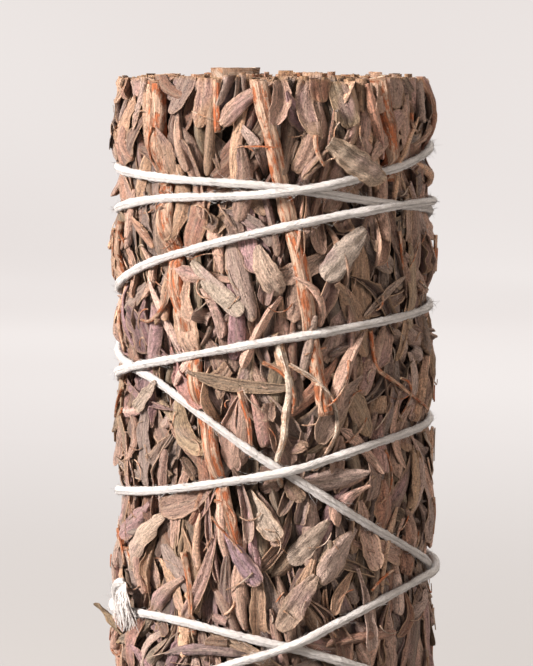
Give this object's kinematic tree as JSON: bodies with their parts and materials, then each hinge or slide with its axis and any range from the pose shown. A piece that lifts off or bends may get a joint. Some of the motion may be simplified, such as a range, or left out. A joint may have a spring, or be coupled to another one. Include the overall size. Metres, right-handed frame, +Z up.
{
  "type": "sage bunch",
  "caption": "Round roll of dried sage sprigs, sawn flat at both ends and wound criss-cross with cotton string, standing upright on its lower sawn end.",
  "frame": {"origin": "middle of the lower sawn end, on the surface that the bunch stands on", "axes": "+Z up along the bunch to its other sawn end; -Y is the front, where the string's long crossings show; the string's knot is on the -X side"},
  "size_m": [0.0471, 0.0463, 0.1032],
  "materials": {
    "leaves": "dry, matt, grey-brown leaf with pale edges and some mauve",
    "inner_leaves": "dry leaf cut across, tan edges",
    "stem": "thin red-orange bark, partly covered by grey skin",
    "stalk": "grey-tan bark, sawn end pale",
    "string": "soft fuzzy white cotton, twisted"
  },
  "bodies": {
    "root": {"loose_leaf_back_high": "leaves", "loose_leaf_back_low": "leaves", "loose_leaf_back_middle": "leaves", "loose_leaf_broad": "leaves", "loose_leaf_cream": "leaves", "loose_leaf_curled": "leaves", "loose_leaf_diagonal": "leaves", "loose_leaf_flap": "leaves", "loose_leaf_folded": "leaves", "loose_leaf_low_left": "leaves", "loose_leaf_low_right": "leaves", "loose_leaf_mauve": "leaves", "loose_leaf_over_string": "leaves", "loose_leaf_pale": "leaves", "loose_leaf_square": "leaves", "outside_stem_edge": "stem", "outside_stem_left": "stem", "outside_stem_middle": "stem", "outside_stem_short": "stem", "sprig_core_leaves": "inner_leaves", "sprig_core_stem": "stem", "sprig_inner_1_leaves": "inner_leaves", "sprig_inner_1_stem": "stalk", "sprig_inner_2_leaves": "inner_leaves", "sprig_inner_2_stem": "stem", "sprig_inner_3_leaves": "inner_leaves", "sprig_inner_3_stem": "stem", "sprig_inner_4_leaves": "inner_leaves", "sprig_inner_4_stem": "stem", "sprig_inner_5_leaves": "inner_leaves", "sprig_inner_5_stem": "stem", "sprig_inner_6_leaves": "inner_leaves", "sprig_inner_6_stem": "stem", "sprig_outer_01_leaves": "leaves", "sprig_outer_01_stem": "stem", "sprig_outer_02_leaves": "leaves", "sprig_outer_02_stem": "stem", "sprig_outer_03_leaves": "leaves", "sprig_outer_03_stem": "stem", "sprig_outer_04_leaves": "leaves", "sprig_outer_04_stem": "stem", "sprig_outer_05_leaves": "leaves", "sprig_outer_05_stem": "stem", "sprig_outer_06_leaves": "leaves", "sprig_outer_06_stem": "stem", "sprig_outer_07_leaves": "leaves", "sprig_outer_07_stem": "stem", "sprig_outer_08_leaves": "leaves", "sprig_outer_08_stem": "stem", "sprig_outer_09_leaves": "leaves", "sprig_outer_09_stem": "stem", "sprig_outer_10_leaves": "leaves", "sprig_outer_10_stem": "stem", "sprig_outer_11_leaves": "leaves", "sprig_outer_11_stem": "stem", "sprig_outer_12_leaves": "leaves", "sprig_outer_12_stem": "stem", "string": "string"}
  },
  "joints": []
}
